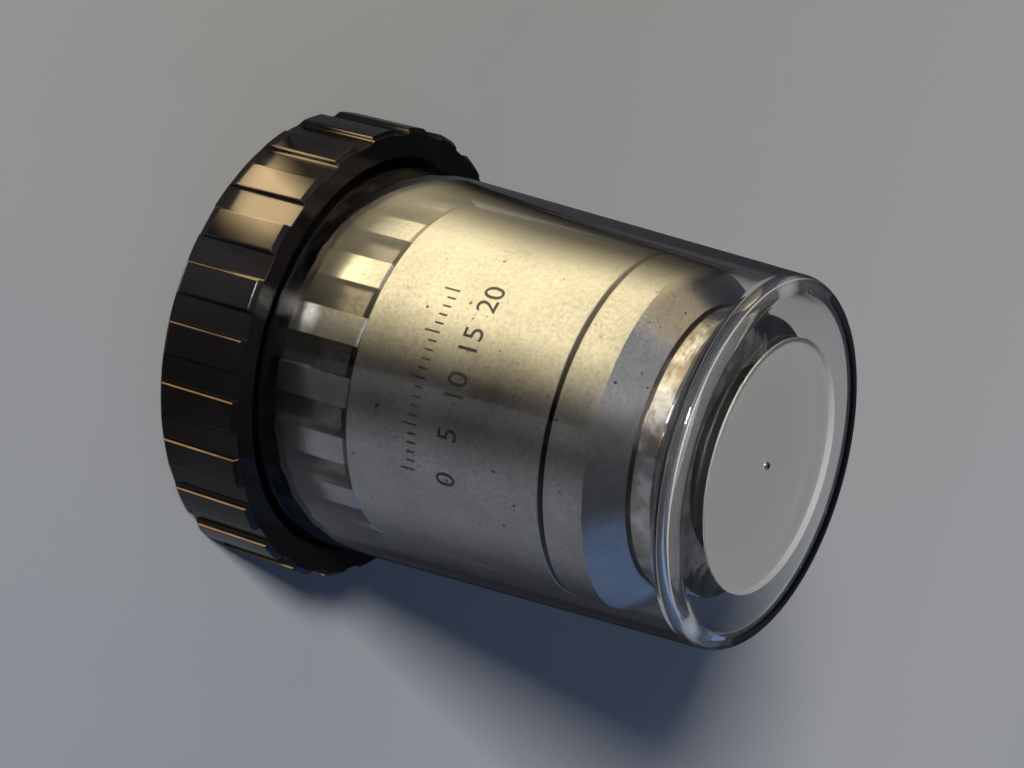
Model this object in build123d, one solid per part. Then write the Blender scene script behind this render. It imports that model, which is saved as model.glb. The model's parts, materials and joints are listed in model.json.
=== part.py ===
from build123d import *
import os
from math import radians, tan

# A brightfield and darkfield microscope objective, screwed into the black fluted base of its
# storage can, with the can's clear cover closed over it.
# Lengths are in millimetres and angles in degrees. +Z is the optical axis. The origin is the
# centre of the ring that the can stands on.

# Fits
running_play = 0.08        # radial, between pieces that move on each other
shoulder_play = 0.05       # axial, under a face that is screwed or pushed home
close_play = 0.03          # radial, between pieces that are fixed to each other
cement_layer = 0.02        # between the two glasses of a doublet
cut_margin = 1.0           # how far a cutter reaches past the piece that it cuts

# Base of the can
base_height = 9.0
base_rim_wall = 3.26       # from the cover's skirt out to the lands
base_floor = 1.8
base_edge = 0.4            # bevel on the rim's upper edge
base_foot_edge = 0.7       # bevel round the foot, which the flutes run out into
base_lip = 0.55            # bevel that leads the cover's skirt in
foot_recess = 0.6
foot_ring_width = 5.0
skirt_depth = 4.5          # how far the cover's skirt goes into the base
flute_count = 24
flute_width = 2.8          # across the mouth
flute_depth = 0.6
flute_wall_slope = 12.0
flute_rounding = 0.22

# Clear cover of the can
cover_gap = 0.45           # radial, at the front of the objective's widest part
cover_wall = 1.0
cover_draft = 2.04
cover_front_gap = 2.6      # from the objective's nose to the end plate
cover_plate = 1.6
cover_corner = 1.5
cover_inner_corner = 0.9
end_rim_width = 5.41       # flat rim round the recess in the end plate
end_recess_depth = 0.6
gate_radius = 0.4
gate_tip_radius = 0.25
gate_height = 0.3

# Outer body of the objective
body_radius = 16.0
body_edge = 0.2            # bevel on the turned edges
sleeve_edge = 0.08         # the finer bevel on the sleeve and the ring in front of it
spigot_wall = 1.42         # makes the mounting thread 27 mm across
spigot_length = 5.0
thread_relief_width = 0.9
thread_relief_depth = 0.6
grip_length = 8.35         # from the mounting shoulder to the sleeve
grip_edge = 0.25           # bevel at the front of the grip
seam_width = 0.12          # fine groove between the grip and the sleeve
seam_depth = 0.5
grip_flute_count = 18
grip_flute_width = 2.9
grip_flute_depth = 0.9
grip_runout = 1.05         # length of the slanted end of a grip flute
shoulder_bevel = 0.5
sleeve_wall = 1.65         # over the threaded joints at both ends of the sleeve
joint_wall = 2.92          # of the shanks that go into the sleeve
carrier_step = 0.6         # width of the seat of the barrel's carrier
rear_joint_length = 5.0
front_joint_length = 4.0
sleeve_length = 20.6
neck_width = 0.5           # the dark groove in front of the sleeve
neck_depth = 0.7
band_length = 4.5
cone_length = 2.7
cone_step = 0.25           # how far the cone's front edge stands out from the nose

# Polished nose and the ring mirror in it
nose_length = 2.6
nose_rounding = 0.4
undercut_width = 0.4
undercut_depth = 0.7
nose_step = 0.8            # how far the nose stands out from its shank
nose_shank_wall = 1.0
nose_lip = 1.0             # thickness of the nose's front face
nose_opening_gap = 1.7     # ring of darkfield light round the front cell
mirror_length = 6.0
mirror_wall = 0.67         # at the mirror's rear edge
mirror_inset = 0.9         # how far its rear edge reaches into the ring channel
mirror_front_step = 0.1    # how far its front edge stays back from the nose's opening
mirror_bulge = 0.35        # how far the reflecting curve leaves a straight cone
retainer_length = 1.0
retainer_lip = 0.2         # how far the retainer reaches past the mirror's edge

# Lens barrel and what holds it in the ring channel
channel_width = 3.2        # of the ring of darkfield light round the barrel
barrel_wall = 1.6
barrel_front_wall = 1.27
barrel_taper_length = 3.6
barrel_tail = 0.8          # what the barrel's end stands past its last ring
flange_width = 0.8
flange_thickness = 1.2
flange_height = 4.3        # from the barrel's rear end to the seat of its flange
carrier_thickness = 2.2
window_count = 4
window_angle = 66.0
window_rim = 0.35          # metal left beside the windows
lock_ring_thickness = 1.5
lock_ring_wall = 0.9
nut_thickness = 1.4
nut_wall = 1.1
spanner_slot_width = 1.2
spanner_slot_depth = 0.6

# Front cell, which screws into the front of the barrel
front_setback = 0.5        # from the nose's front face back to the cell
front_cell_length = 2.7
front_bore_step = 0.57     # from the bore of the lens train in to that of the cell
front_cell_step = 0.2      # from the barrel's front edge in to the cell
front_cell_rim = 1.2       # round the front lens
front_cell_wall = 2.17     # of the shank
front_shank_length = 1.7
front_bore_spare = 0.1     # room past the end of the shank
front_lip = 0.2            # rim rolled over the front lens
front_lens_thickness = 2.9
front_lens_rear_sag = 0.9

# Lens train: rings stacked in the barrel, from its inner rim back to the retaining ring
train_rim = 0.8
train_rim_width = 1.37
lens_lip = 0.5             # how far a cell's rim reaches under its lens
lip_height = 0.8
second_cell_height = 3.6
second_cell_wall = 2.34
second_lens_thickness = 1.7
second_lens_front_sag = -0.4
second_lens_rear_sag = 0.9
spacer_wall = 1.1
front_spacer_height = 2.4
doublet_cell_wall = 1.64
doublet_sag = 1.1          # of the cemented faces
flint_thickness = 1.2
crown_front_sag = 0.8
crown_1_thickness = 3.0
doublet_1_cell_height = 6.4
middle_spacer_height = 3.0
crown_2_thickness = 3.3
doublet_2_cell_height = 6.6
stop_thickness = 1.0
stop_inset = 0.8           # how far the stop reaches in past the rim under the doublet
stop_edge = 0.2
rear_spacer_height = 3.4
rear_cell_height = 4.0
rear_cell_wall = 1.94
rear_lens_thickness = 2.0
rear_lens_front_sag = 0.7
retaining_ring_height = 1.4
retaining_ring_wall = 1.3

# Heights along the axis, worked out from the lengths above
shoulder_z = base_height + shoulder_play
spigot_end_z = shoulder_z - spigot_length
sleeve_rear_z = shoulder_z + grip_length
grip_front_z = sleeve_rear_z - seam_width
sleeve_front_z = sleeve_rear_z + sleeve_length
band_front_z = sleeve_front_z + band_length
cone_front_z = band_front_z + cone_length
nose_front_z = cone_front_z + nose_length
cover_inside_z = nose_front_z + cover_front_gap
cover_top_z = cover_inside_z + cover_plate
channel_floor_z = base_height - skirt_depth
mirror_front_z = nose_front_z - nose_lip
mirror_rear_z = mirror_front_z - mirror_length
nose_shank_end_z = mirror_rear_z - retainer_length
front_cell_front_z = nose_front_z - front_setback
front_lens_front_z = front_cell_front_z - front_lip
barrel_front_z = front_cell_front_z - front_cell_length
front_shank_end_z = barrel_front_z - front_shank_length
train_rim_z = front_shank_end_z - front_bore_spare
train_front_z = train_rim_z - train_rim
second_cell_z = train_front_z - second_cell_height
front_spacer_z = second_cell_z - front_spacer_height
doublet_1_cell_z = front_spacer_z - doublet_1_cell_height
middle_spacer_z = doublet_1_cell_z - middle_spacer_height
doublet_2_cell_z = middle_spacer_z - doublet_2_cell_height
stop_z = doublet_2_cell_z - stop_thickness
rear_spacer_z = stop_z - rear_spacer_height
rear_cell_z = rear_spacer_z - rear_cell_height
retaining_ring_z = rear_cell_z - retaining_ring_height
barrel_rear_z = retaining_ring_z - barrel_tail
carrier_seat_z = barrel_rear_z + flange_height
carrier_rear_z = carrier_seat_z - carrier_thickness

# Radii of the objective, worked out from its body inwards
joint_radius = body_radius - sleeve_wall
joint_shank_radius = joint_radius - close_play
channel_radius = joint_shank_radius - joint_wall
carrier_bore_radius = channel_radius + carrier_step
spigot_radius = carrier_bore_radius + spigot_wall
thread_radius = spigot_radius + running_play
mirror_rear_radius = channel_radius - mirror_inset
mirror_radius = mirror_rear_radius + mirror_wall
mirror_bore_radius = mirror_radius + close_play
nose_shank_radius = mirror_bore_radius + nose_shank_wall
nose_radius = nose_shank_radius + nose_step
cone_front_radius = nose_radius + cone_step
barrel_radius = channel_radius - channel_width
flange_radius = barrel_radius + flange_width
barrel_bore_radius = barrel_radius - barrel_wall
ring_radius = barrel_bore_radius - close_play
train_rim_radius = ring_radius - train_rim_width
front_bore_radius = barrel_bore_radius - front_bore_step
front_shank_radius = front_bore_radius - close_play
barrel_front_radius = front_bore_radius + barrel_front_wall
front_cell_rear_radius = barrel_front_radius - front_cell_step
nose_opening_radius = front_cell_rear_radius + nose_opening_gap
mirror_front_radius = nose_opening_radius + mirror_front_step
front_lens_radius = front_shank_radius - front_cell_wall - close_play
front_cell_front_radius = front_lens_radius + front_cell_rim
second_lens_radius = ring_radius - second_cell_wall - close_play
doublet_radius = ring_radius - doublet_cell_wall - close_play
stop_radius = doublet_radius - lens_lip - stop_inset
rear_lens_radius = ring_radius - rear_cell_wall - close_play


def cover_inner_radius(z):
    """Radius of the cover's drafted inside at a height."""
    return body_radius + cover_gap + (band_front_z - z) * tan(radians(cover_draft))


# Radii of the can, worked out from the objective's body outwards
skirt_inner_radius = cover_inner_radius(base_height)
skirt_radius = skirt_inner_radius + cover_wall
base_radius = skirt_radius + running_play + base_rim_wall
cover_end_radius = cover_inner_radius(cover_top_z) + cover_wall
end_recess_radius = cover_end_radius - end_rim_width


def turned(*outline):
    """A solid turned about the optical axis from (radius, height) corners."""
    return revolve(Plane.XZ * make_face(Polyline(*outline, close=True)), Axis.Z)


def turned_curve(lines):
    """A solid turned about the optical axis from lines and arcs that close on each other."""
    return revolve(Plane.XZ * make_face(lines), Axis.Z)


def ring(rear_z, front_z, outer_radius, inner_radius):
    """A plain ring between two heights."""
    return turned((inner_radius, rear_z), (outer_radius, rear_z),
                  (outer_radius, front_z), (inner_radius, front_z))


def disc(rear_z, front_z, radius):
    """A plain disc between two heights."""
    return turned((0, rear_z), (radius, rear_z), (radius, front_z), (0, front_z))


def spherical_face(radius, pole_z, edge_z):
    """Half the section of a lens face, from the axis out to the edge."""
    if pole_z == edge_z:
        return Line((0, pole_z), (radius, edge_z))
    return TangentArc((0, pole_z), (radius, edge_z), tangent=(1, 0))


def lens(radius, rear_z, thickness, rear_sag, front_sag):
    """A lens from its rear pole forward. A sag above zero is a face that bulges outwards."""
    front_z = rear_z + thickness
    rear_edge_z = rear_z + rear_sag
    front_edge_z = front_z - front_sag
    rear_face = spherical_face(radius, rear_z, rear_edge_z)
    front_face = spherical_face(radius, front_z, front_edge_z)
    edge = Line((radius, rear_edge_z), (radius, front_edge_z))
    axis = Line((0, rear_z), (0, front_z))
    return turned_curve(rear_face + edge + front_face + axis)


def lens_cell(rear_z, front_z, lens_radius):
    """A ring with a rim at its rear that a lens seats on."""
    bore = lens_radius + close_play
    lip = lens_radius - lens_lip
    seat_z = rear_z + lip_height
    return turned((lip, rear_z), (ring_radius, rear_z), (ring_radius, front_z), (bore, front_z),
                  (bore, seat_z), (lip, seat_z))


def spanner_slots(outer_radius, rear_z):
    """A bar across a ring's rear face that cuts its two spanner slots."""
    length = 2 * (outer_radius + cut_margin)
    depth = spanner_slot_depth + cut_margin
    bar = Box(length, spanner_slot_width, depth, align=(Align.CENTER, Align.CENTER, Align.MAX))
    return Pos(0, 0, rear_z + spanner_slot_depth) * bar


def can_base():
    """Black moulded base: fluted rim, channel for the cover, threaded socket for the objective."""
    channel_outer = skirt_radius + running_play
    boss_radius = skirt_inner_radius - running_play
    foot_inner = base_radius - foot_ring_width
    floor_z = foot_recess + base_floor
    section = turned(
        (0, foot_recess), (foot_inner - foot_recess, foot_recess), (foot_inner, 0),
        (base_radius - base_foot_edge, 0), (base_radius, base_foot_edge),
        (base_radius, base_height - base_edge), (base_radius - base_edge, base_height),
        (channel_outer + base_lip, base_height), (channel_outer, base_height - base_lip),
        (channel_outer, channel_floor_z), (boss_radius, channel_floor_z),
        (boss_radius, base_height - body_edge), (boss_radius - body_edge, base_height),
        (thread_radius + body_edge, base_height), (thread_radius, base_height - body_edge),
        (thread_radius, floor_z), (0, floor_z))
    floor_half = flute_width / 2 - flute_depth * tan(radians(flute_wall_slope))
    mouth_half = flute_width / 2 + cut_margin * tan(radians(flute_wall_slope))
    mouth_radius = base_radius + cut_margin
    floor_radius = base_radius - flute_depth
    groove = make_face(Polyline((floor_radius, -floor_half), (mouth_radius, -mouth_half),
                                (mouth_radius, mouth_half), (floor_radius, floor_half), close=True))
    outline = Circle(base_radius)
    half_pitch = 180 / flute_count
    for place in PolarLocations(0, flute_count, start_angle=half_pitch):
        outline -= place * groove
    outline = fillet(outline.vertices(), flute_rounding)
    return section & extrude(outline, base_height)


def can_cover():
    """Clear moulded cover: drafted wall, end plate with a round recess and the stub of its gate."""
    skirt_end_z = channel_floor_z + shoulder_play
    inner_end_radius = cover_inner_radius(cover_inside_z)
    recess_z = cover_top_z - end_recess_depth
    outside = make_face(Polyline((0, skirt_end_z), (skirt_radius, skirt_end_z), (skirt_radius, base_height),
                                 (cover_end_radius, cover_top_z), (0, cover_top_z), close=True))
    inside = make_face(Polyline((0, skirt_end_z - cut_margin), (skirt_inner_radius, skirt_end_z - cut_margin),
                                (skirt_inner_radius, base_height), (inner_end_radius, cover_inside_z),
                                (0, cover_inside_z), close=True))
    outer_corner = outside.vertices().filter_by(lambda v: v.Y > base_height and v.X > end_recess_radius)
    inner_corner = inside.vertices().filter_by(lambda v: v.Y > base_height and v.X > end_recess_radius)
    outside = fillet(outer_corner, cover_corner)
    inside = fillet(inner_corner, cover_inner_corner)
    shell = revolve(Plane.XZ * (outside - inside), Axis.Z)
    shell -= disc(recess_z, cover_top_z + cut_margin, end_recess_radius)
    gate_top_z = recess_z + gate_height
    gate = turned((0, recess_z), (gate_radius, recess_z), (gate_tip_radius, gate_top_z), (0, gate_top_z))
    return shell + gate


def mount_body():
    """Rear of the objective: mounting thread, shoulder, fluted grip, and the joint for the sleeve."""
    relief_radius = spigot_radius - thread_relief_depth
    seam_radius = body_radius - seam_depth
    joint_end_z = sleeve_rear_z + rear_joint_length
    body = turned(
        (carrier_bore_radius, spigot_end_z), (spigot_radius - body_edge, spigot_end_z),
        (spigot_radius, spigot_end_z + body_edge), (spigot_radius, shoulder_z - thread_relief_width),
        (relief_radius, shoulder_z - thread_relief_width), (relief_radius, shoulder_z),
        (body_radius - shoulder_bevel, shoulder_z), (body_radius, shoulder_z + shoulder_bevel),
        (body_radius, grip_front_z - grip_edge), (body_radius - grip_edge, grip_front_z),
        (seam_radius, grip_front_z), (seam_radius, sleeve_rear_z), (joint_shank_radius, sleeve_rear_z),
        (joint_shank_radius, joint_end_z), (channel_radius, joint_end_z),
        (channel_radius, carrier_seat_z), (carrier_bore_radius, carrier_seat_z))
    floor_radius = body_radius - grip_flute_depth
    rear_z = shoulder_z - cut_margin
    mouth_radius = body_radius + cut_margin
    runout_slope = grip_runout / (grip_flute_depth - grip_edge)
    runout_length = runout_slope * (grip_flute_depth + cut_margin)
    side = make_face(Polyline((floor_radius, rear_z), (mouth_radius, rear_z),
                              (mouth_radius, grip_front_z - grip_runout + runout_length),
                              (floor_radius, grip_front_z - grip_runout), close=True))
    groove = extrude(Plane.XZ * side, grip_flute_width / 2, both=True)
    return body - [place * groove for place in PolarLocations(0, grip_flute_count)]


def outer_sleeve():
    """Satin sleeve, counterbored at both ends for the threaded joints."""
    rear_step_z = sleeve_rear_z + rear_joint_length
    front_step_z = sleeve_front_z - front_joint_length
    return turned(
        (joint_radius, sleeve_rear_z), (body_radius - sleeve_edge, sleeve_rear_z),
        (body_radius, sleeve_rear_z + sleeve_edge), (body_radius, sleeve_front_z - sleeve_edge),
        (body_radius - sleeve_edge, sleeve_front_z), (joint_radius, sleeve_front_z),
        (joint_radius, front_step_z), (channel_radius, front_step_z),
        (channel_radius, rear_step_z), (joint_radius, rear_step_z))


def front_ring():
    """Satin ring in front of the sleeve: dark groove, straight band and cone."""
    joint_end_z = sleeve_front_z - front_joint_length
    neck_radius = body_radius - neck_depth
    neck_front_z = sleeve_front_z + neck_width
    shank_bore = nose_shank_radius + close_play
    step_z = nose_shank_end_z - shoulder_play
    return turned(
        (channel_radius, joint_end_z), (joint_shank_radius, joint_end_z),
        (joint_shank_radius, sleeve_front_z), (neck_radius, sleeve_front_z),
        (neck_radius, neck_front_z), (body_radius - sleeve_edge, neck_front_z),
        (body_radius, neck_front_z + sleeve_edge), (body_radius, band_front_z),
        (cone_front_radius, cone_front_z), (shank_bore, cone_front_z),
        (shank_bore, step_z), (channel_radius, step_z))


def nose_ring():
    """Polished nose: shank in the front ring, undercut, rounded front edge and flat front face."""
    undercut_radius = nose_radius - undercut_depth
    undercut_z = cone_front_z + undercut_width
    section = make_face(Polyline(
        (mirror_bore_radius, nose_shank_end_z), (nose_shank_radius, nose_shank_end_z),
        (nose_shank_radius, cone_front_z), (undercut_radius, cone_front_z), (undercut_radius, undercut_z),
        (nose_radius, undercut_z), (nose_radius, nose_front_z), (nose_opening_radius, nose_front_z),
        (nose_opening_radius, mirror_front_z), (mirror_bore_radius, mirror_front_z), close=True))
    front_edge = section.vertices().sort_by(lambda v: v.X + v.Y)[-1]
    return revolve(Plane.XZ * fillet(front_edge, nose_rounding), Axis.Z)


def ring_mirror():
    """Concave ring mirror that turns the darkfield light in towards the specimen."""
    middle_radius = (mirror_rear_radius + mirror_front_radius) / 2 + mirror_bulge
    middle_z = (mirror_rear_z + mirror_front_z) / 2
    curve = ThreePointArc((mirror_rear_radius, mirror_rear_z), (middle_radius, middle_z),
                          (mirror_front_radius, mirror_front_z))
    rest = Polyline((mirror_front_radius, mirror_front_z), (mirror_radius, mirror_front_z),
                    (mirror_radius, mirror_rear_z), (mirror_rear_radius, mirror_rear_z))
    return turned_curve(curve + rest)


def mirror_retainer():
    """Threaded ring behind the ring mirror."""
    opening = mirror_rear_radius - retainer_lip
    body = ring(nose_shank_end_z, mirror_rear_z, mirror_radius, opening)
    return body - spanner_slots(mirror_radius, nose_shank_end_z)


def barrel_carrier():
    """Ring that centres the lens barrel, with kidney windows for the darkfield light."""
    hub_bore = barrel_radius + close_play
    body = ring(carrier_rear_z, carrier_seat_z, carrier_bore_radius - close_play, hub_bore)
    window_radius = (flange_radius + channel_radius) / 2
    window_width = channel_radius - flange_radius - 2 * window_rim
    arc = CenterArc((0, 0), window_radius, -window_angle / 2, window_angle)
    window = Pos(0, 0, carrier_rear_z - cut_margin) * extrude(
        SlotArc(arc, window_width), carrier_thickness + 2 * cut_margin)
    return body - [place * window for place in PolarLocations(0, window_count)]


def carrier_lock_ring():
    """Threaded ring that holds the carrier against its seat."""
    rear_z = carrier_rear_z - lock_ring_thickness
    outer = carrier_bore_radius - close_play
    return ring(rear_z, carrier_rear_z, outer, outer - lock_ring_wall) - spanner_slots(outer, rear_z)


def lens_barrel():
    """Inner barrel: flange on the carrier, bore for the lens train, bore for the front cell."""
    flange_front_z = carrier_seat_z + flange_thickness
    taper_z = barrel_front_z - barrel_taper_length
    return turned(
        (barrel_bore_radius, barrel_rear_z), (barrel_radius, barrel_rear_z), (barrel_radius, carrier_seat_z),
        (flange_radius, carrier_seat_z), (flange_radius, flange_front_z), (barrel_radius, flange_front_z),
        (barrel_radius, taper_z), (barrel_front_radius, barrel_front_z),
        (front_bore_radius, barrel_front_z), (front_bore_radius, train_rim_z),
        (train_rim_radius, train_rim_z), (train_rim_radius, train_front_z),
        (barrel_bore_radius, train_front_z))


def barrel_nut():
    """Nut on the barrel's rear thread that pulls its flange onto the carrier."""
    rear_z = carrier_rear_z - nut_thickness
    bore = barrel_radius + close_play
    return ring(rear_z, carrier_rear_z, bore + nut_wall, bore) - spanner_slots(bore + nut_wall, rear_z)


def front_cell():
    """Tapered cell that carries the front lens."""
    bore = front_lens_radius + close_play
    lip = front_lens_radius - lens_lip
    return turned(
        (bore, front_shank_end_z), (front_shank_radius, front_shank_end_z),
        (front_shank_radius, barrel_front_z), (front_cell_rear_radius, barrel_front_z),
        (front_cell_front_radius, front_cell_front_z),
        (lip, front_cell_front_z), (lip, front_lens_front_z), (bore, front_lens_front_z))


def front_lens():
    """Flat-fronted lens nearest the specimen."""
    rear_z = front_lens_front_z - front_lens_thickness
    return lens(front_lens_radius, rear_z, front_lens_thickness, front_lens_rear_sag, 0)


def second_cell():
    """Cell with its rim at the front, for the hollow-fronted second lens."""
    bore = second_lens_radius + close_play
    lip = second_lens_radius - lens_lip
    seat_z = train_front_z - lip_height
    return turned((bore, second_cell_z), (ring_radius, second_cell_z), (ring_radius, train_front_z),
                  (lip, train_front_z), (lip, seat_z), (bore, seat_z))


def second_lens():
    """Meniscus lens, with its hollow face to the front."""
    front_edge_z = train_front_z - lip_height
    rear_z = front_edge_z + second_lens_front_sag - second_lens_thickness
    return lens(second_lens_radius, rear_z, second_lens_thickness,
                second_lens_rear_sag, second_lens_front_sag)


def spacer(rear_z, front_z):
    """Ring that keeps two cells apart."""
    return ring(rear_z, front_z, ring_radius, ring_radius - spacer_wall)


def flint(cell_z):
    """Rear glass of a doublet, flat at the back and hollow at the front."""
    return lens(doublet_radius, cell_z + lip_height, flint_thickness, 0, -doublet_sag)


def crown(cell_z, thickness):
    """Front glass of a doublet, bulging both ways."""
    rear_z = cell_z + lip_height + flint_thickness + cement_layer
    return lens(doublet_radius, rear_z, thickness, doublet_sag, crown_front_sag)


def aperture_stop():
    """Thin stop with a bevelled edge to its opening."""
    return turned((stop_radius, stop_z), (ring_radius, stop_z), (ring_radius, doublet_2_cell_z),
                  (stop_radius + stop_thickness - stop_edge, doublet_2_cell_z),
                  (stop_radius, stop_z + stop_edge))


def rear_lens():
    """Rear lens, flat at the back."""
    return lens(rear_lens_radius, rear_cell_z + lip_height, rear_lens_thickness, 0, rear_lens_front_sag)


def retaining_ring():
    """Threaded ring that closes the lens train."""
    body = ring(retaining_ring_z, rear_cell_z, ring_radius, ring_radius - retaining_ring_wall)
    return body - spanner_slots(ring_radius, retaining_ring_z)


pieces = {
    "can_base": can_base(),
    "can_cover": can_cover(),
    "mount_body": mount_body(),
    "outer_sleeve": outer_sleeve(),
    "front_ring": front_ring(),
    "nose_ring": nose_ring(),
    "ring_mirror": ring_mirror(),
    "mirror_retainer": mirror_retainer(),
    "barrel_carrier": barrel_carrier(),
    "carrier_lock_ring": carrier_lock_ring(),
    "lens_barrel": lens_barrel(),
    "barrel_nut": barrel_nut(),
    "front_cell": front_cell(),
    "front_lens": front_lens(),
    "second_cell": second_cell(),
    "second_lens": second_lens(),
    "front_spacer": spacer(front_spacer_z, second_cell_z),
    "doublet_1_cell": lens_cell(doublet_1_cell_z, front_spacer_z, doublet_radius),
    "flint_1": flint(doublet_1_cell_z),
    "crown_1": crown(doublet_1_cell_z, crown_1_thickness),
    "middle_spacer": spacer(middle_spacer_z, doublet_1_cell_z),
    "doublet_2_cell": lens_cell(doublet_2_cell_z, middle_spacer_z, doublet_radius),
    "flint_2": flint(doublet_2_cell_z),
    "crown_2": crown(doublet_2_cell_z, crown_2_thickness),
    "aperture_stop": aperture_stop(),
    "rear_spacer": spacer(rear_spacer_z, stop_z),
    "rear_cell": lens_cell(rear_cell_z, rear_spacer_z, rear_lens_radius),
    "rear_lens": rear_lens(),
    "retaining_ring": retaining_ring(),
}

os.makedirs("parts", exist_ok=True)
for name, piece in pieces.items():
    export_step(piece, f"parts/{name}.step")
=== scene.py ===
import json
from math import cos, pi, radians, sin, tan

import bmesh
import bpy
from mathutils import Matrix, Vector


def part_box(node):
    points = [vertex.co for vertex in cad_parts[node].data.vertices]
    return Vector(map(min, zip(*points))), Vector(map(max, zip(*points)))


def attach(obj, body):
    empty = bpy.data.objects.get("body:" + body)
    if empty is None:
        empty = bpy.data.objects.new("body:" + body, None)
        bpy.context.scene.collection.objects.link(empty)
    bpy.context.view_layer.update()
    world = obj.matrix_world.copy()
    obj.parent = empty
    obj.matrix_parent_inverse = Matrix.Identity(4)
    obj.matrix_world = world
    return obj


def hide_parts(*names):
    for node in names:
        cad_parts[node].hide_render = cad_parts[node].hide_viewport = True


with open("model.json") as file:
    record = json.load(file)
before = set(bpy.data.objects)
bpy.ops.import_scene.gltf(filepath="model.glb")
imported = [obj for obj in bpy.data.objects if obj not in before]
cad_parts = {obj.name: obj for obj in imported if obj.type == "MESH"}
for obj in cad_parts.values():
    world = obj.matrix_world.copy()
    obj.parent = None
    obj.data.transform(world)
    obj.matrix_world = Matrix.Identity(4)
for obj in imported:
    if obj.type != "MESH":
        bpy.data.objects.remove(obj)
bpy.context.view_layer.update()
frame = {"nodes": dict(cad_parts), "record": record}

# A microscope objective in its storage can, dressed for a picture.
# Lengths are in metres and angles in degrees. +Z is the optical axis.

MM = 0.001
nodes = frame["nodes"]

# Camera, fitted to the outlines of the can
camera_lens = 103.98               # in millimetres, as the sensor's width is
camera_sensor = 36.0
camera_distance = 274.9 * MM
camera_azimuth = 5.65
camera_elevation = 30.12
camera_roll = 105.74
camera_side_shift = -0.82 * MM     # of the aimed point, to the camera's right before the roll
camera_aim_height = 24.2 * MM
camera_near_limit = 10 * MM

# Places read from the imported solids
body_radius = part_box("outer_sleeve")[1][0]
sleeve_rear_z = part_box("outer_sleeve")[0][2]
sleeve_front_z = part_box("outer_sleeve")[1][2]
base_top_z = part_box("can_base")[1][2]
base_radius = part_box("can_base")[1][0]
skirt_end_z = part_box("can_cover")[0][2]
skirt_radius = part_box("can_cover")[1][0]
cover_top_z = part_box("can_cover")[1][2]

# Warm colour along one edge of the base's lands: partly wear, partly a painted highlight
land_edge_start = 0.05 * MM        # below the land, where the warm colour of a rounded edge begins
land_edge_deepest = 0.16 * MM
land_edge_blur = 0.03 * MM
land_edge_rounding = 0.18 * MM
lit_side_start = 0.2              # share of the base's radius by which the normal misses the axis
lit_side_full = 0.5

# Clear cover, turned in fine steps so that it bends light evenly
cover_wall = 1.0 * MM
cover_plate = 1.6 * MM
cover_draft = 2.04
cover_corner = 1.5 * MM
cover_inner_corner = 0.9 * MM
end_rim_width = 5.41 * MM
end_recess_depth = 0.6 * MM
gate_radius = 0.4 * MM
gate_tip_radius = 0.25 * MM
gate_height = 0.3 * MM
cover_segments = 288
corner_steps = 12
edge_support = 0.15 * MM           # extra rings beside the rounded corners keep the flats flat
sharp_edge = 25                    # an edge that bends by more stays sharp in the shading
cover_slope = tan(radians(cover_draft))
end_radius = skirt_radius - (cover_top_z - base_top_z) * cover_slope
recess_radius = end_radius - end_rim_width
recess_z = cover_top_z - end_recess_depth

# Finish of the clear cover
face_skin = 0.02 * MM              # how far from a face its finish reaches
ground_roughness = 0.65            # of the recess's floor
ground_cloud = 0.5                 # share of the light that it scatters
ground_tone = 0.30
ground_wall_share = 0.6            # how ground the recess's wall is, next to its floor
# a milky share on the rounded corner stands in for light carried round it through the plastic: painted light
corner_light_cloud = 0.05
corner_start_radius = end_radius - cover_corner * 1.2    # where the end turns into the corner
corner_light_full_radius = end_radius - cover_corner * 0.6
# the wall seen edge on is darkened: a painted dark reflection
edge_shade_full_radius = end_radius - cover_corner * 0.7
edge_shade_start = 0.62                 # facing value at which the wall begins to get its painted dark reflection
edge_shade_full = 0.74
corner_edge_shade = 0.5                 # how strong the painted dark reflection is on the rounded corner, next to the wall

# Marks on the satin metal: dark specks, which are dirt, and painted shade in the fine seam behind the
# sleeve, in the wider neck in front of it and in the depth of the grip's flutes
speck_start = 0.755                # value of the noise at which a dark speck begins
speck_full = 0.77
seam_width = 0.12 * MM
neck_width = 0.5 * MM
groove_blur = 0.02 * MM
groove_shade_depth = 0.12 * MM      # below the sleeve's surface, where a groove turns dark with painted shade
flute_shade = 0.5                   # taken off the tone in the depth of a flute, as painted shade
flute_shade_start = 0.4 * MM        # below the sleeve's surface, where a flute turns dull with painted shade
flute_shade_full = 0.75 * MM
grip_end_blur = 0.3 * MM

# Engraved scale on the sleeve
scale_azimuth = 8.5                # of its middle, counted as the camera's azimuth is
scale_span = 60.0                  # angle from its first mark to its last
scale_steps = 20
scale_numbers = ("0", "5", "10", "15", "20")
scale_mark_z = sleeve_rear_z + 7.6 * MM
scale_number_z = sleeve_rear_z + 11.0 * MM
scale_long_mark = 1.6 * MM
scale_short_mark = 0.9 * MM
scale_line = 0.17 * MM
scale_figure = 2.0 * MM
figure_share = 0.7                 # height of a figure as a share of the font's size
engraving_lift = 0.02 * MM         # of the dark inlay's face over the metal
inlay_thickness = 0.06 * MM
inlay_strip = 0.2 * MM             # width of the strips in which an inlay is bent round the sleeve
inlay_weld = 0.001 * MM            # points of a figure that are nearer than this become one
mark_end_steps = 6                 # of a mark's rounded end

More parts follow.
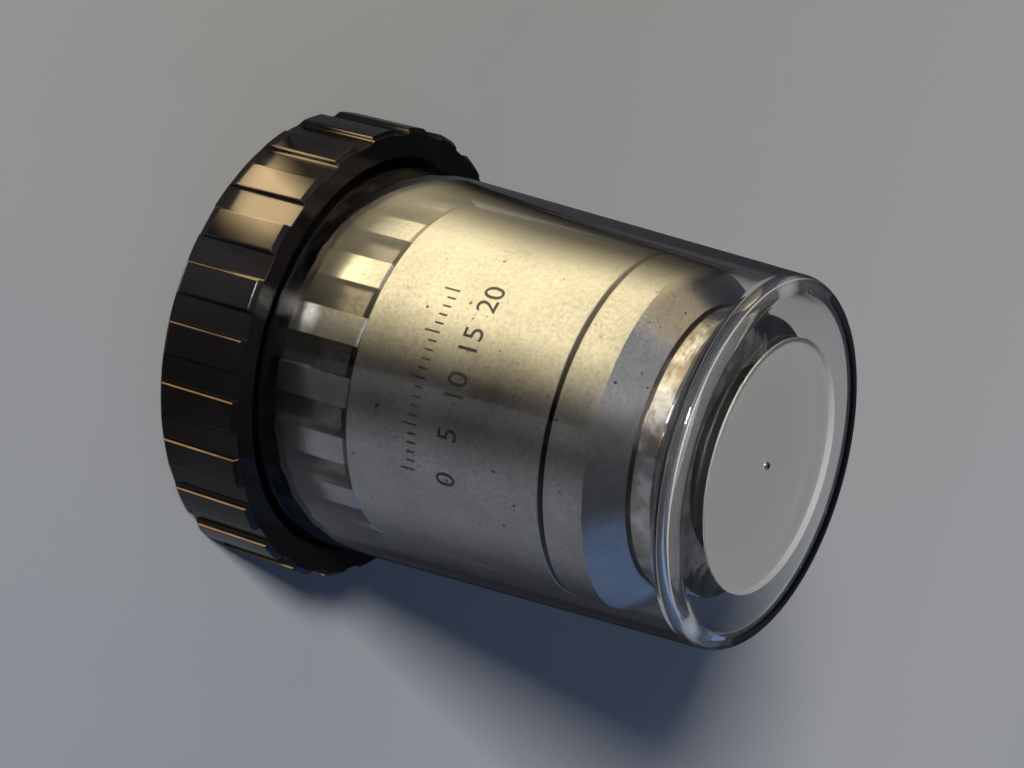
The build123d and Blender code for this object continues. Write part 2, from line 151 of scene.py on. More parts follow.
# Floor: pale, and in the object's gloss mostly darker, with lighter stretches in front and on the right:
# painted reflections of shade and light
floor_radius = 4.0
floor_segments = 96
floor_hue_reach = 50 * MM          # to each side, where the floor's hue has changed: painted warm light on one side, painted cool shade on the other
floor_pale_start = 20 * MM         # behind the can, where the floor begins to get paler with painted light
floor_pale_end = 220 * MM
mirrored_tint = (0.94, 0.97, 1.08)
mirrored_tones = (                 # bearing from the can, 0 towards -Y, and the tone of the floor there in gloss, a painted reflection
    (-180, 0.05), (-150, 0.08), (-120, 0.18), (-60, 0.24), (-8, 0.80), (14, 0.14), (32, 0.07),
    (58, 0.42), (92, 0.40), (125, 0.08), (180, 0.05))

# Warm panels on the floor
glow_height = 0.5 * MM
glow_steps = 24
glow_even_share = 0.35             # of its half angle, over which a panel glows evenly
glow_near_margin = 2 * MM
glow_far_margin = 5 * MM
glow_blur = 5 * MM

noise_span = (0.3, 0.7)            # the range that soft noise mostly fills


# Helpers for node materials

def principled(name):
    """A new material, its node tree and its shader."""
    material = bpy.data.materials.new(name)
    material.use_nodes = True
    tree = material.node_tree
    return material, tree, tree.nodes["Principled BSDF"]


def place(tree):
    """Coordinates that are fixed to the piece, in metres."""
    return tree.nodes.new("ShaderNodeTexCoord").outputs["Object"]


def stretched(tree, vector, factors):
    """Coordinates scaled by a factor along each axis."""
    mapping = tree.nodes.new("ShaderNodeMapping")
    mapping.inputs["Scale"].default_value = factors
    tree.links.new(vector, mapping.inputs["Vector"])
    return mapping.outputs["Vector"]


def noise(tree, vector, scale, detail=3.0):
    """Soft noise from 0 to 1, with so many features in a metre."""
    texture = tree.nodes.new("ShaderNodeTexNoise")
    texture.inputs["Scale"].default_value = scale
    texture.inputs["Detail"].default_value = detail
    tree.links.new(vector, texture.inputs["Vector"])
    return texture.outputs["Fac"]


def remap(tree, value, low, high, to_low, to_high):
    """A value from one range carried over to another, and held at its ends."""
    node = tree.nodes.new("ShaderNodeMapRange")
    for socket, number in zip(("From Min", "From Max", "To Min", "To Max"), (low, high, to_low, to_high)):
        node.inputs[socket].default_value = number
    tree.links.new(value, node.inputs["Value"])
    return node.outputs["Result"]


def calculate(tree, operation, first, second):
    """Arithmetic on a value and a second value or number."""
    node = tree.nodes.new("ShaderNodeMath")
    node.operation = operation
    tree.links.new(first, node.inputs[0])
    if isinstance(second, (int, float)):
        node.inputs[1].default_value = second
    else:
        tree.links.new(second, node.inputs[1])
    return node.outputs["Value"]


def product(tree, first, second):
    """A value times a second value or number."""
    return calculate(tree, "MULTIPLY", first, second)


def larger(tree, first, second):
    """The larger one of two values."""
    return calculate(tree, "MAXIMUM", first, second)


def split_axes(tree, vector):
    """The outputs X, Y and Z of a vector."""
    node = tree.nodes.new("ShaderNodeSeparateXYZ")
    tree.links.new(vector, node.inputs["Vector"])
    return node.outputs


def height_above(tree, vector):
    """Height over the floor, in metres."""
    return split_axes(tree, vector)["Z"]


def radius_of(tree, vector):
    """Distance from the axis, in metres."""
    length = tree.nodes.new("ShaderNodeVectorMath")
    length.operation = "LENGTH"
    tree.links.new(stretched(tree, vector, (1.0, 1.0, 0.0)), length.inputs[0])
    return length.outputs["Value"]


def bearing_of(tree, across, along):
    """Angle round the axis in radians, 0 towards -Y and growing towards +X."""
    return calculate(tree, "ARCTAN2", across, product(tree, along, -1.0))


def within(tree, value, low, high, blur):
    """1 between two bounds and 0 outside them."""
    middle = (low + high) / 2
    away = calculate(tree, "ABSOLUTE", calculate(tree, "SUBTRACT", value, middle), 0.0)
    return remap(tree, away, (high - low) / 2, (high - low) / 2 + blur, 1.0, 0.0)


def blend_colours(tree, factor, first, second):
    """A colour between two colours."""
    node = tree.nodes.new("ShaderNodeValToRGB")
    node.color_ramp.elements[0].color = (*first, 1.0)
    node.color_ramp.elements[1].color = (*second, 1.0)
    tree.links.new(factor, node.inputs["Fac"])
    return node.outputs["Color"]


def mix_colours(tree, factor, first, second):
    """A colour between a colour and a second one, each a node's output or a plain colour."""
    node = tree.nodes.new("ShaderNodeMix")
    node.data_type = "RGBA"
    tree.links.new(factor, node.inputs["Factor"])
    for socket, colour in zip(node.inputs[6:8], (first, second)):
        if isinstance(colour, tuple):
            socket.default_value = (*colour, 1.0)
        else:
            tree.links.new(colour, socket)
    return node.outputs[2]


def rounding(tree, radius):
    """Normals of a surface whose edges are rounded by a radius."""
    node = tree.nodes.new("ShaderNodeBevel")
    node.samples = 6
    node.inputs["Radius"].default_value = radius
    return node.outputs["Normal"]


def turned_aside(tree, vector):
    """Distance by which the normal at a place misses the axis, with a sign for the side."""
    cross = tree.nodes.new("ShaderNodeVectorMath")
    cross.operation = "CROSS_PRODUCT"
    tree.links.new(vector, cross.inputs[0])
    tree.links.new(tree.nodes.new("ShaderNodeNewGeometry").outputs["Normal"], cross.inputs[1])
    return height_above(tree, cross.outputs["Vector"])


def relief(tree, shader, height, strength, depth, edge=0.0):
    """Bumps on the surface, of a depth in metres, and edges that look rounded by a radius."""
    bump = tree.nodes.new("ShaderNodeBump")
    if edge:
        tree.links.new(rounding(tree, edge), bump.inputs["Normal"])
    bump.inputs["Strength"].default_value = strength
    bump.inputs["Distance"].default_value = depth
    tree.links.new(height, bump.inputs["Height"])
    tree.links.new(bump.outputs["Normal"], shader.inputs["Normal"])


def turned_gloss(tree, shader, amount):
    """Gloss drawn out along the axis, as on a turned surface."""
    tangent = tree.nodes.new("ShaderNodeTangent")
    tangent.direction_type = "RADIAL"
    tangent.axis = "Z"
    tree.links.new(tangent.outputs["Tangent"], shader.inputs["Tangent"])
    shader.inputs["Anisotropic"].default_value = amount
    shader.inputs["Anisotropic Rotation"].default_value = 0.25


def tool_lines(tree, vector, scale, fineness):
    """Noise drawn out round the axis into turning lines, finer along the axis by a factor."""
    return noise(tree, stretched(tree, vector, (1.0, 1.0, fineness)), scale, detail=2.0)


# Materials

def painted_groove_shade(tree, where):
    """Painted shade in the grooves beside the sleeve and in the depth of the grip's flutes."""
    height = height_above(tree, where)
    reach = radius_of(tree, where)
    # painted shade: the seam, the neck and the flute floors are darkened where shade would fall
    sunk = remap(tree, reach, body_radius - groove_shade_depth, body_radius, 1.0, 0.0)
    seam = within(tree, height, sleeve_rear_z - seam_width, sleeve_rear_z, groove_blur)
    neck = within(tree, height, sleeve_front_z, sleeve_front_z + neck_width, groove_blur)
    groove_shade = product(tree, sunk, larger(tree, seam, neck))
    deep = remap(tree, reach, body_radius - flute_shade_full, body_radius - flute_shade_start, flute_shade, 0.0)
    on_grip = remap(tree, height, sleeve_rear_z - grip_end_blur, sleeve_rear_z, 1.0, 0.0)
    return larger(tree, groove_shade, product(tree, deep, on_grip))


def satin_chrome():
    """Satin chrome: blasted grain, a few dark specks, and painted shade in the grooves and flutes."""
    material, tree, shader = principled("satin_chrome")
    where = place(tree)
    shader.inputs["Metallic"].default_value = 1.0
    clouds = noise(tree, where, scale=160)
    specks = remap(tree, noise(tree, where, scale=1500, detail=1.0), speck_start, speck_full, 0.0, 1.0)
    # dark specks are dirt; the grooves and flutes are darkened with painted shade
    specks_and_shade = larger(tree, specks, painted_groove_shade(tree, where))
    tone = calculate(tree, "SUBTRACT", remap(tree, clouds, *noise_span, 0.8, 1.0), specks_and_shade)
    grain = noise(tree, where, scale=3400)
    mottled = calculate(tree, "ADD", tone, remap(tree, grain, *noise_span, -0.2, 0.02))
    shade = blend_colours(tree, mottled, (0.05, 0.046, 0.045), (0.58, 0.57, 0.56))
    tree.links.new(shade, shader.inputs["Base Color"])
    tree.links.new(remap(tree, clouds, *noise_span, 0.21, 0.25), shader.inputs["Roughness"])
    relief(tree, shader, grain, strength=0.12, depth=0.02 * MM)
    return material


def polished_chrome():
    """Bright turned chrome with a brownish mottling, partly tarnish and partly a painted dark reflection,
    shallow ripples and fine tool lines.
    """
    material, tree, shader = principled("polished_chrome")
    where = place(tree)
    shader.inputs["Metallic"].default_value = 1.0
    turned_gloss(tree, shader, amount=0.45)
    # brownish mottling: partly tarnish, partly a painted dark reflection
    tarnish_and_reflection = remap(tree, noise(tree, where, scale=380), 0.42, 0.6, 0.0, 1.0)
    shade = blend_colours(tree, tarnish_and_reflection, (0.46, 0.40, 0.35), (0.82, 0.82, 0.84))
    tree.links.new(shade, shader.inputs["Base Color"])
    clouds = noise(tree, where, scale=220)
    tree.links.new(remap(tree, clouds, *noise_span, 0.09, 0.15), shader.inputs["Roughness"])
    ripples = noise(tree, where, scale=520, detail=2.0)
    lines = product(tree, tool_lines(tree, where, scale=240, fineness=80.0), 0.1)
    relief(tree, shader, calculate(tree, "ADD", ripples, lines), strength=1.0, depth=0.16 * MM)
    return material


def mirror_coat():
    """Silvered reflecting curve, with a breath of haze."""
    material, tree, shader = principled("mirror_coat")
    shader.inputs["Metallic"].default_value = 1.0
    clouds = noise(tree, place(tree), scale=300)
    shade = blend_colours(tree, clouds, (0.86, 0.86, 0.87), (0.93, 0.93, 0.92))
    tree.links.new(shade, shader.inputs["Base Color"])
    tree.links.new(remap(tree, clouds, 0.35, 0.7, 0.03, 0.08), shader.inputs["Roughness"])
    return material


def blackened_brass():
    """Matt black coat, with turning lines that catch the light."""
    material, tree, shader = principled("blackened_brass")
    where = place(tree)
    clouds = noise(tree, where, scale=350)
    shade = blend_colours(tree, clouds, (0.010, 0.010, 0.011), (0.026, 0.025, 0.025))
    tree.links.new(shade, shader.inputs["Base Color"])
    tree.links.new(remap(tree, clouds, *noise_span, 0.46, 0.62), shader.inputs["Roughness"])
    relief(tree, shader, tool_lines(tree, where, scale=300, fineness=50.0), strength=0.25, depth=0.02 * MM)
    return material


def bare_brass():
    """Turned brass, a little dulled."""
    material, tree, shader = principled("bare_brass")
    where = place(tree)
    shader.inputs["Metallic"].default_value = 1.0
    turned_gloss(tree, shader, amount=0.6)
    clouds = noise(tree, where, scale=260)
    shade = blend_colours(tree, clouds, (0.60, 0.41, 0.17), (0.76, 0.57, 0.28))
    tree.links.new(shade, shader.inputs["Base Color"])
    tree.links.new(remap(tree, clouds, *noise_span, 0.24, 0.36), shader.inputs["Roughness"])
    relief(tree, shader, tool_lines(tree, where, scale=280, fineness=60.0), strength=0.2, depth=0.02 * MM)
    return material


def optical_glass():
    """Polished glass with a thin bloom that tints what it reflects."""
    material, tree, shader = principled("optical_glass")
    shader.inputs["Transmission Weight"].default_value = 1.0
    shader.inputs["IOR"].default_value = 1.62
    shader.inputs["Thin Film Thickness"].default_value = 390.0
    shader.inputs["Thin Film IOR"].default_value = 1.38
    haze = noise(tree, place(tree), scale=500)
    shade = blend_colours(tree, haze, (0.93, 0.96, 0.96), (0.98, 0.99, 0.99))
    tree.links.new(shade, shader.inputs["Base Color"])
    tree.links.new(remap(tree, haze, 0.45, 0.8, 0.0, 0.03), shader.inputs["Roughness"])
    return material


def worn_and_lit_edges(tree, where, rubbed):
    """How warm the base's edges are: along one edge of each land, more where it was rubbed; partly wear,
    partly a painted highlight.
    """
    deepest = base_radius - land_edge_deepest
    highest = base_radius - land_edge_start
    edges = within(tree, radius_of(tree, where), deepest, highest, land_edge_blur)
    # only one side of each land gets the warm colour: a painted highlight
    aside = turned_aside(tree, where)
    sides = remap(tree, aside, -lit_side_start * base_radius, -lit_side_full * base_radius, 0.0, 1.0)
    # more where it was rubbed; the mark is partly wear and partly a painted highlight
    wear = remap(tree, rubbed, 0.35, 0.65, 0.35, 1.0)
    return product(tree, product(tree, edges, sides), wear)


def black_moulding():
    """Glossy black moulding, finely scratched, with a warm colour along one edge of each land: partly where
    fingers have worn it, partly a painted highlight.
    """
    material, tree, shader = principled("black_moulding")
    where = place(tree)
    rubbed = noise(tree, where, scale=210, detail=4.0)
    moulded = blend_colours(tree, rubbed, (0.002, 0.0018, 0.0018), (0.007, 0.0055, 0.005))
    shade = mix_colours(tree, worn_and_lit_edges(tree, where, rubbed), moulded, (0.40, 0.22, 0.10))
    tree.links.new(shade, shader.inputs["Base Color"])
    scratches = noise(tree, stretched(tree, where, (1.0, 1.0, 0.06)), scale=5200, detail=2.0)
    dullness = calculate(tree, "ADD", remap(tree, rubbed, 0.35, 0.7, 0.12, 0.24),
                         remap(tree, scratches, 0.55, 0.75, 0.0, 0.08))
    tree.links.new(dullness, shader.inputs["Roughness"])
    shader.inputs["IOR"].default_value = 1.36
    pits = noise(tree, where, scale=900, detail=2.0)
    relief(tree, shader, pits, strength=0.08, depth=0.02 * MM, edge=land_edge_rounding)
    return material


def ground_recess(tree, height, reach):
    """1 on the ground floor of the cover's recess, and less on the recess's wall."""
    on_floor = within(tree, height, recess_z - face_skin, recess_z + face_skin, 2 * face_skin)
    by_wall = within(tree, reach, recess_radius - face_skin, recess_radius + face_skin, 1.5 * face_skin)
    on_wall = product(tree, by_wall, within(tree, height, recess_z, cover_top_z, face_skin))
    return larger(tree, on_floor, product(tree, on_wall, ground_wall_share))


def milky_corner_light(tree, height, reach):
    """1 on the rounded corner of the cover, which is made milky as painted light."""
    high = remap(tree, height, cover_top_z - cover_corner, cover_top_z - cover_corner / 2, 0.0, 1.0)
    outside = remap(tree, reach, corner_start_radius, corner_light_full_radius, 0.0, 1.0)
    return product(tree, high, outside)


def edge_on_shade(tree, height, reach):
    """1 where the cover's wall is seen edge on, and less on its corner: there a dark reflection is painted.
    """
    outside = remap(tree, reach, corner_start_radius, edge_shade_full_radius, 0.0, 1.0)
    upright = remap(tree, height, cover_top_z - cover_corner, cover_top_z, 1.0, corner_edge_shade)
    slant = tree.nodes.new("ShaderNodeLayerWeight")
    slant.inputs["Blend"].default_value = 0.5
    edge_on = remap(tree, slant.outputs["Facing"], edge_shade_start, edge_shade_full, 0.0, 1.0)
    return product(tree, product(tree, outside, upright), edge_on)


def clear_moulding():
    """Clear moulding: darkened where it is seen edge on as a painted dark reflection, milky along its corner
    as painted light, and ground in its recess.
    """
    material, tree, shader = principled("clear_moulding")
    where = place(tree)
    height = height_above(tree, where)
    reach = radius_of(tree, where)
    ground = ground_recess(tree, height, reach)
    haze = remap(tree, noise(tree, where, scale=420), 0.5, 0.8, 0.0, 0.006)
    roughness = calculate(tree, "ADD", haze, product(tree, ground, ground_roughness))
    tree.links.new(roughness, shader.inputs["Roughness"])
    # the ground recess scatters as frosted plastic does; the milky corner is painted light
    frost_and_corner_light = calculate(tree, "ADD", product(tree, ground, ground_cloud),
                       product(tree, milky_corner_light(tree, height, reach), corner_light_cloud))
    tree.links.new(remap(tree, frost_and_corner_light, 0.0, 1.0, 1.0, 0.0), shader.inputs["Transmission Weight"])
    # the ground recess's own grey, and the painted dark reflection where the wall is seen edge on
    tone = larger(tree, product(tree, ground, ground_tone), edge_on_shade(tree, height, reach))
    shade = blend_colours(tree, tone, (0.985, 0.99, 0.985), (0.03, 0.027, 0.032))
    tree.links.new(shade, shader.inputs["Base Color"])
    shader.inputs["IOR"].default_value = 1.52
    shader.inputs["Specular Tint"].default_value = (0.45, 0.45, 0.46, 1.0)
    return material


def engraving_paint():
    """Black paint rubbed into engraved marks."""
    material, tree, shader = principled("engraving_paint")
    wear = noise(tree, place(tree), scale=2600)
    shade = blend_colours(tree, wear, (0.010, 0.010, 0.011), (0.045, 0.042, 0.040))
    tree.links.new(shade, shader.inputs["Base Color"])
    tree.links.new(remap(tree, wear, *noise_span, 0.45, 0.7), shader.inputs["Roughness"])
    shader.inputs["Specular IOR Level"].default_value = 0.1
    return material


def mirrored_floor(tree, across, along):
    """Colour that the object's gloss shows of the floor, by the bearing from the can: painted reflections of
    shade and light.
    """
    ramp = tree.nodes.new("ShaderNodeValToRGB")
    bearing = bearing_of(tree, across, along)
    tree.links.new(remap(tree, bearing, -pi, pi, 0.0, 1.0), ramp.inputs["Fac"])
    stops = ramp.color_ramp.elements
    for angle, _ in mirrored_tones[1:-1]:
        stops.new((angle + 180) / 360)
    for stop, (_, tone) in zip(stops, mirrored_tones):
        stop.color = (*[tone * part for part in mirrored_tint], 1.0)
    return ramp.outputs["Color"]


def floor_paint():
    """Pale grey, with painted warm light on one side, painted cool shade on the other and painted light
    behind the can. Gloss on the object shows its own tones, which are painted reflections.
    """
    material, tree, shader = principled("floor_paint")
    axes = split_axes(tree, place(tree))
    across = axes["X"]
    along = axes["Y"]
    # warmer towards -X and bluer towards +X: painted light and shade
    near = blend_colours(tree, remap(tree, across, -floor_hue_reach, floor_hue_reach, 0.0, 1.0),
                         (0.48, 0.47, 0.445), (0.43, 0.465, 0.52))
    # paler behind the can: painted light
    behind = remap(tree, along, floor_pale_start, floor_pale_end, 0.0, 1.0)
    pale = mix_colours(tree, behind, near, (0.78, 0.79, 0.78))
    # gloss sees painted reflections in place of the pale floor
    glossy_depth = tree.nodes.new("ShaderNodeLightPath").outputs["Glossy Depth"]
    mirrored = calculate(tree, "MINIMUM", glossy_depth, 1.0)
    shade = mix_colours(tree, mirrored, pale, mirrored_floor(tree, across, along))
    tree.links.new(shade, shader.inputs["Base Color"])
    shader.inputs["Roughness"].default_value = 0.6
    shader.inputs["Specular IOR Level"].default_value = 0.2
    return material


def warm_glow(name, azimuth, half_angle, near, far, radiance, colour):
    """Light from a panel's upper side that fades towards the panel's edges."""
    material, tree, shader = principled(name)
    tree.nodes.remove(shader)
    where = place(tree)
    axes = split_axes(tree, where)
    bearing = bearing_of(tree, axes["X"], axes["Y"])
    aside = calculate(tree, "ABSOLUTE", calculate(tree, "SUBTRACT", bearing, radians(azimuth)), 0.0)
    fade = remap(tree, aside, radians(half_angle) * glow_even_share, radians(half_angle), 1.0, 0.0)
    across = product(tree, fade, fade)
    along = within(tree, radius_of(tree, where), near + glow_near_margin, far - glow_far_margin, glow_blur)
    underside = tree.nodes.new("ShaderNodeNewGeometry").outputs["Backfacing"]
    upper = calculate(tree, "SUBTRACT", across, underside)
    strength = product(tree, product(tree, upper, along), radiance)
    glow = tree.nodes.new("ShaderNodeEmission")
    glow.inputs["Color"].default_value = (*colour, 1.0)
    tree.links.new(larger(tree, strength, 0.0), glow.inputs["Strength"])
    tree.links.new(glow.outputs["Emission"], tree.nodes["Material Output"].inputs["Surface"])
    return material


def dress_nodes():
    """Gives each solid the material of its slot in the record."""
    finishes = {
        "black_moulding": black_moulding(),
        "clear_moulding": clear_moulding(),
        "satin_chrome": satin_chrome(),
        "polished_chrome": polished_chrome(),
        "mirror_coat": mirror_coat(),
        "blackened_brass": blackened_brass(),
        "bare_brass": bare_brass(),
        "optical_glass": optical_glass(),
    }
    for part in frame["record"]["subparts"]:
        mesh = nodes[part["node"]].data
        mesh.materials.clear()
        mesh.materials.append(finishes[part["material_slot"]])
    return finishes


def add_piece(name, shape, material):
    """A new object in the scene, with the form of a finished shape and one material."""
    mesh = bpy.data.meshes.new(name)
    shape.to_mesh(mesh)
    shape.free()
    mesh.materials.append(material)
    piece = bpy.data.objects.new(name, mesh)
    bpy.context.scene.collection.objects.link(piece)
    return piece


# Clear cover

def rounded(corner, before, after, radius):
    """Points of an arc that rounds the corner between two neighbours of it, in a section."""
    towards = [(Vector(point) - Vector(corner)).normalized() for point in (before, after)]
    half_angle = towards[0].angle(towards[1]) / 2
    middle = Vector(corner) + (towards[0] + towards[1]).normalized() * (radius / sin(half_angle))
    run = radius / tan(half_angle)
    first, last = [Vector(corner) + side * run - middle for side in towards]
    arc = []
    for step in range(corner_steps + 1):
        share = step / corner_steps
        arc.append(middle + (first * (1 - share) + last * share).normalized() * radius)
    support = [Vector(corner) + side * (run + edge_support) for side in towards]
    return [support[0], *arc, support[1]]


def cover_section():
    """Half section of the cover as radius and height: skirt, outside, recess and gate, then the inside."""
    inside_z = cover_top_z - cover_plate
    skirt_inner = skirt_radius - cover_wall
    inner_end_radius = skirt_inner - (inside_z - base_top_z) * cover_slope
    outer_corner = rounded((end_radius, cover_top_z), (skirt_radius, base_top_z), (0, cover_top_z),
                           cover_corner)
    inner_corner = rounded((inner_end_radius, inside_z), (0, inside_z), (skirt_inner, base_top_z),
                           cover_inner_corner)
    skirt = [(skirt_inner, skirt_end_z), (skirt_radius, skirt_end_z), (skirt_radius, base_top_z)]
    recess = [(recess_radius, cover_top_z), (recess_radius, recess_z)]
    gate_top_z = recess_z + gate_height
    gate = [(gate_radius, recess_z), (gate_tip_radius, gate_top_z), (0, gate_top_z)]
    inside = [(0, inside_z), *inner_corner, (skirt_inner, base_top_z)]
    return [*skirt, *outer_corner, *recess, *gate, *inside]


def turn(shape, section, segments):
    """Turns a closed half section round the axis, with one point for a ring that lies on it."""
    rings = []
    for radius, height in section:
        if radius == 0:
            rings.append([shape.verts.new((0.0, 0.0, height))])
            continue
        angles = [2 * pi * step / segments for step in range(segments)]
        rings.append([shape.verts.new((radius * cos(a), radius * sin(a), height)) for a in angles])
    for ring, next_ring in zip(rings, rings[1:] + rings[:1]):
        if len(ring) == len(next_ring) == 1:
            continue
        for step in range(segments):
            after = (step + 1) % segments
            corners = [ring[step % len(ring)], ring[after % len(ring)],
                       next_ring[after % len(next_ring)], next_ring[step % len(next_ring)]]
            shape.faces.new(list(dict.fromkeys(corners)))


def soften(shape, sharpest):
    """Shades faces smoothly, apart from the edges that bend by more than an angle."""
    for face in shape.faces:
        face.smooth = True
    for edge in shape.edges:
        edge.smooth = edge.calc_face_angle(0.0) < radians(sharpest)


def add_cover(material):
    """The clear cover, which lifts off the base."""
    shape = bmesh.new()
    turn(shape, cover_section(), cover_segments)
    bmesh.ops.recalc_face_normals(shape, faces=shape.faces)
    soften(shape, sharp_edge)
    cover = add_piece("clear_cover", shape, material)
    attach(cover, "cover")
    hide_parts("can_cover")


# Engraved scale

def wrap_on_sleeve(shape, azimuth, height):
    """Bends a flat shape round the sleeve in narrow strips, with its top towards the mounting end."""
    reach = max(abs(vertex.co.x) for vertex in shape.verts)
    strips = int(reach / inlay_strip)
    for strip in range(-strips, strips + 1):
        everything = shape.verts[:] + shape.edges[:] + shape.faces[:]
        cut_place = (strip * inlay_strip, 0, 0)
        bmesh.ops.bisect_plane(shape, geom=everything, plane_co=cut_place, plane_no=(1, 0, 0))
    middle = body_radius + engraving_lift - inlay_thickness / 2
    for vertex in shape.verts:
        angle = radians(azimuth) - vertex.co.x / body_radius
        radius = middle + vertex.co.z
        vertex.co = Vector((radius * sin(angle), -radius * cos(angle), height - vertex.co.y))


def flat_figure(text):
    """A number as a thin flat shape about the origin."""
    curve = bpy.data.curves.new("figure", "FONT")
    curve.body = text
    curve.size = scale_figure / figure_share
    curve.extrude = inlay_thickness / 2
    curve.align_x = "CENTER"
    curve.align_y = "CENTER"
    holder = bpy.data.objects.new("figure", curve)
    bpy.context.scene.collection.objects.link(holder)
    bpy.context.view_layer.update()
    mesh = bpy.data.meshes.new_from_object(holder.evaluated_get(bpy.context.evaluated_depsgraph_get()))
    shape = bmesh.new()
    shape.from_mesh(mesh)
    bmesh.ops.remove_doubles(shape, verts=shape.verts, dist=inlay_weld)
    bpy.data.objects.remove(holder)
    bpy.data.curves.remove(curve)
    bpy.data.meshes.remove(mesh)
    return shape


def flat_mark(length):
    """A straight mark with rounded ends as a thin flat shape, with its foot at the origin."""
    shape = bmesh.new()
    half = scale_line / 2
    outline = []
    for foot, first_angle in ((length - half, 0.0), (half, pi)):
        for step in range(mark_end_steps + 1):
            angle = first_angle + pi * step / mark_end_steps
            outline.append((half * cos(angle), foot + half * sin(angle), -inlay_thickness / 2))
    face = shape.faces.new([shape.verts.new(point) for point in outline])
    lifted = bmesh.ops.extrude_face_region(shape, geom=[face])["geom"]
    tops = [item for item in lifted if isinstance(item, bmesh.types.BMVert)]
    bmesh.ops.translate(shape, verts=tops, vec=(0, 0, inlay_thickness))
    return shape


def engrave(name, shape, azimuth, height, material):
    """Puts a flat shape on the sleeve as a dark inlay that turns with the objective."""
    wrap_on_sleeve(shape, azimuth, height)
    bmesh.ops.recalc_face_normals(shape, faces=shape.faces)
    piece = add_piece(name, shape, material)
    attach(piece, "objective")


def add_scale():
    """A row of marks round the sleeve, with plain numbers beside each fifth one."""
    material = engraving_paint()
    figure_step = scale_steps // (len(scale_numbers) - 1)
    for step in range(scale_steps + 1):
        azimuth = scale_azimuth + scale_span * (0.5 - step / scale_steps)
        long_one = step % figure_step == 0
        mark = flat_mark(scale_long_mark if long_one else scale_short_mark)
        engrave(f"scale_mark_{step:02d}", mark, azimuth, scale_mark_z, material)
        if long_one:
            text = scale_numbers[step // figure_step]
            engrave(f"scale_number_{text}", flat_figure(text), azimuth, scale_number_z, material)


# Stage

def direction(azimuth, elevation):
    """Unit vector from the object outwards, counted as the camera's angles are."""
    a = radians(azimuth)
    e = radians(elevation)
    return Vector((sin(a) * cos(e), -cos(a) * cos(e), sin(e)))


def add_floor():
    """A wide plain floor at the foot of the can."""
    shape = bmesh.new()
    bmesh.ops.create_circle(shape, cap_ends=True, segments=floor_segments, radius=floor_radius)
    add_piece("floor", shape, floor_paint())


def add_lamp(name, azimuth, elevation, distance, size, radiance, colour, aim=(0.0, 0.0, 0.0)):
    """A flat lamp of a given brightness, turned to the place it aims at, that the camera doesn't see."""
    lamp = bpy.data.lights.new(name, "AREA")
    lamp.shape = "RECTANGLE"
    lamp.size, lamp.size_y = size
    lamp.energy = radiance * pi * lamp.size * lamp.size_y
    lamp.color = colour
    holder = bpy.data.objects.new(name, lamp)
    bpy.context.scene.collection.objects.link(holder)
    towards = direction(azimuth, elevation)
    holder.location = Vector(aim) + towards * distance
    holder.rotation_euler = towards.to_track_quat("Z", "Y").to_euler()
    holder.visible_camera = False
    return holder


def add_glow(name, azimuth, half_angle, near, far, radiance, colour):
    """A warm panel on the floor, a sector of a ring, that shows in gloss and lights no matt surface."""
    shape = bmesh.new()
    rings = []
    for radius in (near, far):
        angles = [azimuth + half_angle * (2 * step / glow_steps - 1) for step in range(glow_steps + 1)]
        rings.append([shape.verts.new(direction(angle, 0.0) * radius) for angle in angles])
    for step in range(glow_steps):
        shape.faces.new((rings[0][step], rings[1][step], rings[1][step + 1], rings[0][step + 1]))
    panel = add_piece(name, shape, warm_glow(name, azimuth, half_angle, near, far, radiance, colour))
    panel.location.z = glow_height
    panel.visible_camera = False
    panel.visible_shadow = False
    panel.visible_diffuse = False


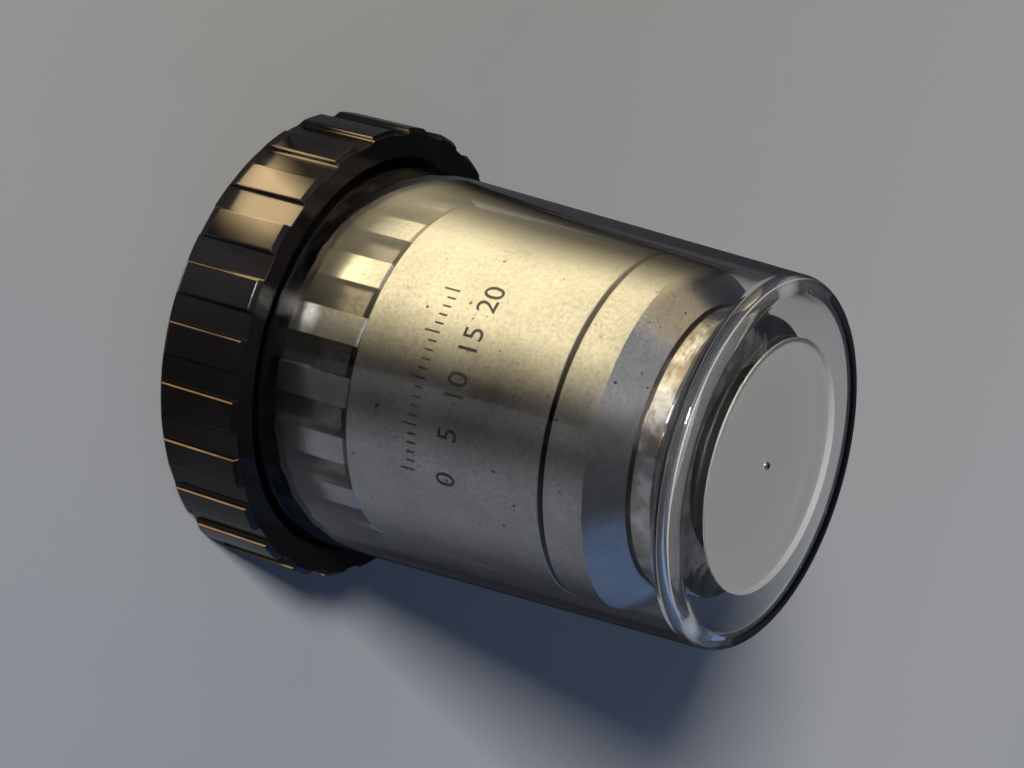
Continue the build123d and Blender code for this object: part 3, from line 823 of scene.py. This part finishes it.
def add_lights():
    """Soft studio light: a key by the camera, warm panels below, two high boxes and a cool one."""
    add_lamp("key", azimuth=camera_azimuth - 15, elevation=26, distance=1.3, size=(0.20, 0.20),
             radiance=150.0, colour=(1.0, 0.96, 0.90), aim=(0.0, 0.03, 0.0))
    add_glow("warm_near", azimuth=camera_azimuth - 37, half_angle=19, near=23 * MM, far=36 * MM,
             radiance=17.0, colour=(1.0, 0.72, 0.38))
    add_glow("warm_far", azimuth=camera_azimuth - 58, half_angle=66, near=34 * MM, far=108 * MM,
             radiance=2.2, colour=(1.0, 0.85, 0.52))
    high = add_lamp("warm_high", azimuth=camera_azimuth - 108, elevation=40, distance=0.5, size=(0.56, 0.22),
                    radiance=0.70, colour=(1.0, 0.80, 0.48))
    top = add_lamp("top", azimuth=camera_azimuth - 50, elevation=56, distance=0.6, size=(0.5, 0.3),
                   radiance=0.42, colour=(0.95, 0.94, 1.0))
    for box in (high, top):
        box.visible_diffuse = False
    add_lamp("cool", azimuth=camera_azimuth + 125, elevation=30, distance=0.6, size=(0.7, 0.7),
             radiance=0.32, colour=(0.25, 0.48, 1.0))


def add_world():
    """A dim room that is a little lighter overhead."""
    world = bpy.data.worlds.new("room")
    world.use_nodes = True
    tree = world.node_tree
    rise = height_above(tree, tree.nodes.new("ShaderNodeTexCoord").outputs["Generated"])
    overhead = remap(tree, rise, 0.3, 1.0, 0.0, 1.0)
    shade = blend_colours(tree, overhead, (0.02, 0.024, 0.032), (0.05, 0.055, 0.07))
    tree.links.new(shade, tree.nodes["Background"].inputs["Color"])
    bpy.context.scene.world = world


def add_camera():
    """Camera at the height and roll that the can's outlines ask for."""
    back = direction(camera_azimuth, camera_elevation)
    right = Vector((cos(radians(camera_azimuth)), sin(radians(camera_azimuth)), 0.0))
    up = back.cross(right)
    aim = right * camera_side_shift + Vector((0.0, 0.0, camera_aim_height))
    roll = radians(camera_roll)
    rolled_right = right * cos(roll) + up * sin(roll)
    rolled_up = up * cos(roll) - right * sin(roll)
    camera = bpy.data.cameras.new("camera")
    camera.sensor_width = camera_sensor
    camera.lens = camera_lens
    camera.clip_start = camera_near_limit
    holder = bpy.data.objects.new("camera", camera)
    bpy.context.scene.collection.objects.link(holder)
    attitude = Matrix((rolled_right, rolled_up, back)).transposed().to_4x4()
    holder.matrix_world = Matrix.Translation(aim + back * camera_distance) @ attitude
    bpy.context.scene.camera = holder


bpy.context.scene.view_settings.view_transform = "Standard"
finishes = dress_nodes()
add_cover(finishes["clear_moulding"])
add_scale()
add_floor()
add_lights()
add_world()
add_camera()
